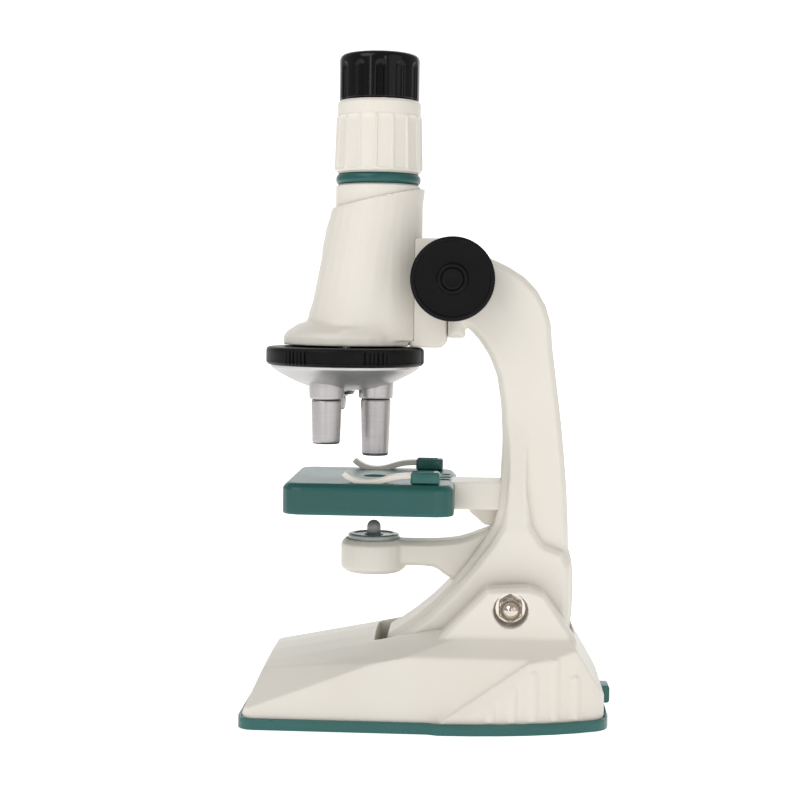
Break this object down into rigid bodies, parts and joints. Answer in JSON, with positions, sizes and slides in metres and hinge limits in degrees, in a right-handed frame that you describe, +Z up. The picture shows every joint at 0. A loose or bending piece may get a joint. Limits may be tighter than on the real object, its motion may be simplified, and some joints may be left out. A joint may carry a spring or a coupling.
{
  "type": "microscope",
  "caption": "Small compound microscope with a tilting arm on a battery base, a geared focus slide, a turret of objectives, a clipped stage and a lamp below it.",
  "frame": {"origin": "on the floor under the middle of the object's box", "axes": "+Z up along the body tube, +X from the front of the base towards the arm and the switch, +Y across, away from the side with the dome nut"},
  "size_m": [0.1284, 0.0802, 0.2325],
  "materials": {
    "cream_plastic": "satin moulded",
    "green_plastic": "satin moulded",
    "black_plastic": "fine matt",
    "gloss_black": "polished",
    "satin_silver": "satin turned",
    "nickel": "bright nickel plate",
    "steel": "zinc plated",
    "lens_plastic": "polished",
    "lamp_grey": "polished",
    "led_lens": "clear smoked",
    "cell_wrap": "gloss sleeve",
    "lead_sheath": "matt",
    "fibre_washer": "matt"
  },
  "bodies": {
    "base": {"base_shell": "cream_plastic", "base_plate": "green_plastic", "battery_door": "green_plastic", "plate_screw_1": "steel", "plate_screw_2": "steel", "plate_screw_3": "steel", "plate_screw_4": "steel", "battery_front": "cell_wrap", "battery_rear": "cell_wrap", "battery_contact_near": "nickel", "battery_contact_far": "nickel", "switch_body": "black_plastic", "hinge_bolt": "nickel", "hinge_nut": "nickel", "hinge_washer_near": "nickel", "hinge_washer_far": "nickel"},
    "arm": {"friction_washer_near": "fibre_washer", "friction_washer_far": "fibre_washer", "arm_near": "cream_plastic", "arm_far": "cream_plastic", "arm_screw_1": "steel", "arm_screw_2": "steel", "arm_screw_3": "steel", "stage_bracket": "cream_plastic", "stage": "green_plastic", "stage_screw_1": "steel", "stage_screw_2": "steel", "lamp_bracket": "cream_plastic", "lamp_disc": "lamp_grey", "led": "led_lens", "lamp_lead": "lead_sheath"},
    "switch_slider": {"power_switch": "green_plastic"},
    "clip_near_swivel": {"clip_post_near": "green_plastic", "clip_near": "cream_plastic"},
    "clip_far_swivel": {"clip_post_far": "green_plastic", "clip_far": "cream_plastic"},
    "body_carriage": {"carriage": "cream_plastic", "carriage_screw_1": "steel", "carriage_screw_2": "steel", "body_housing": "cream_plastic", "body_tube": "cream_plastic", "trim_ring": "green_plastic", "turret_pivot": "nickel"},
    "focus_knobs": {"focus_shaft": "steel", "focus_pinion": "cream_plastic", "focus_knob_near": "black_plastic", "focus_knob_far": "black_plastic"},
    "turret": {"turret_ring": "black_plastic", "turret_cone": "satin_silver", "objective_high": "satin_silver", "objective_low": "satin_silver", "objective_mid": "satin_silver", "lens_high": "lens_plastic", "lens_low": "lens_plastic", "lens_mid": "lens_plastic"},
    "zoom_collar": {"zoom_ring": "cream_plastic"},
    "eyepiece": {"draw_tube": "black_plastic", "eyepiece_cap": "gloss_black", "eye_lens": "lens_plastic", "field_lens": "lens_plastic"}
  },
  "joints": [
    {"name": "arm_tilt", "type": "hinge", "parent": "base", "child": "arm", "pos_m": [0.0283, 0, 0.0403], "axis": [0, 1, 0], "range_deg": [0, 30]},
    {"name": "power_slide", "type": "slide", "parent": "base", "child": "switch_slider", "axis": [0, 1, 0], "range_m": [0, 0.004]},
    {"name": "clip_near_turn", "type": "hinge", "parent": "arm", "child": "clip_near_swivel", "pos_m": [-0.0017, -0.024, 0.085], "axis": [0, 0, 1], "range_deg": [-8, 60]},
    {"name": "clip_far_turn", "type": "hinge", "parent": "arm", "child": "clip_far_swivel", "pos_m": [-0.0017, 0.024, 0.085], "axis": [0, 0, 1], "range_deg": [-60, 8]},
    {"name": "focus_slide", "type": "slide", "parent": "arm", "child": "body_carriage", "axis": [0, 0, 1], "range_m": [-0.005, 0.012]},
    {"name": "focus_turn", "type": "hinge", "parent": "arm", "child": "focus_knobs", "pos_m": [0.0066, 0, 0.1534], "axis": [0, 1, 0], "range_deg": [-69, 165]},
    {"name": "turret_turn", "type": "hinge", "parent": "body_carriage", "child": "turret", "pos_m": [-0.0317, 0, 0.125], "axis": [0, 0, 1], "continuous": true},
    {"name": "zoom_turn", "type": "hinge", "parent": "body_carriage", "child": "zoom_collar", "pos_m": [-0.02065, 0, 0.2], "axis": [0, 0, 1], "range_deg": [0, 180]},
    {"name": "eyepiece_lift", "type": "slide", "parent": "body_carriage", "child": "eyepiece", "axis": [0, 0, 1], "range_m": [0, 0.008]}
  ],
  "couplings": [
    {"joint": "focus_turn", "follows": "focus_slide", "rad_per_m": 238.09},
    {"joint": "zoom_turn", "follows": "eyepiece_lift", "rad_per_m": 392}
  ]
}
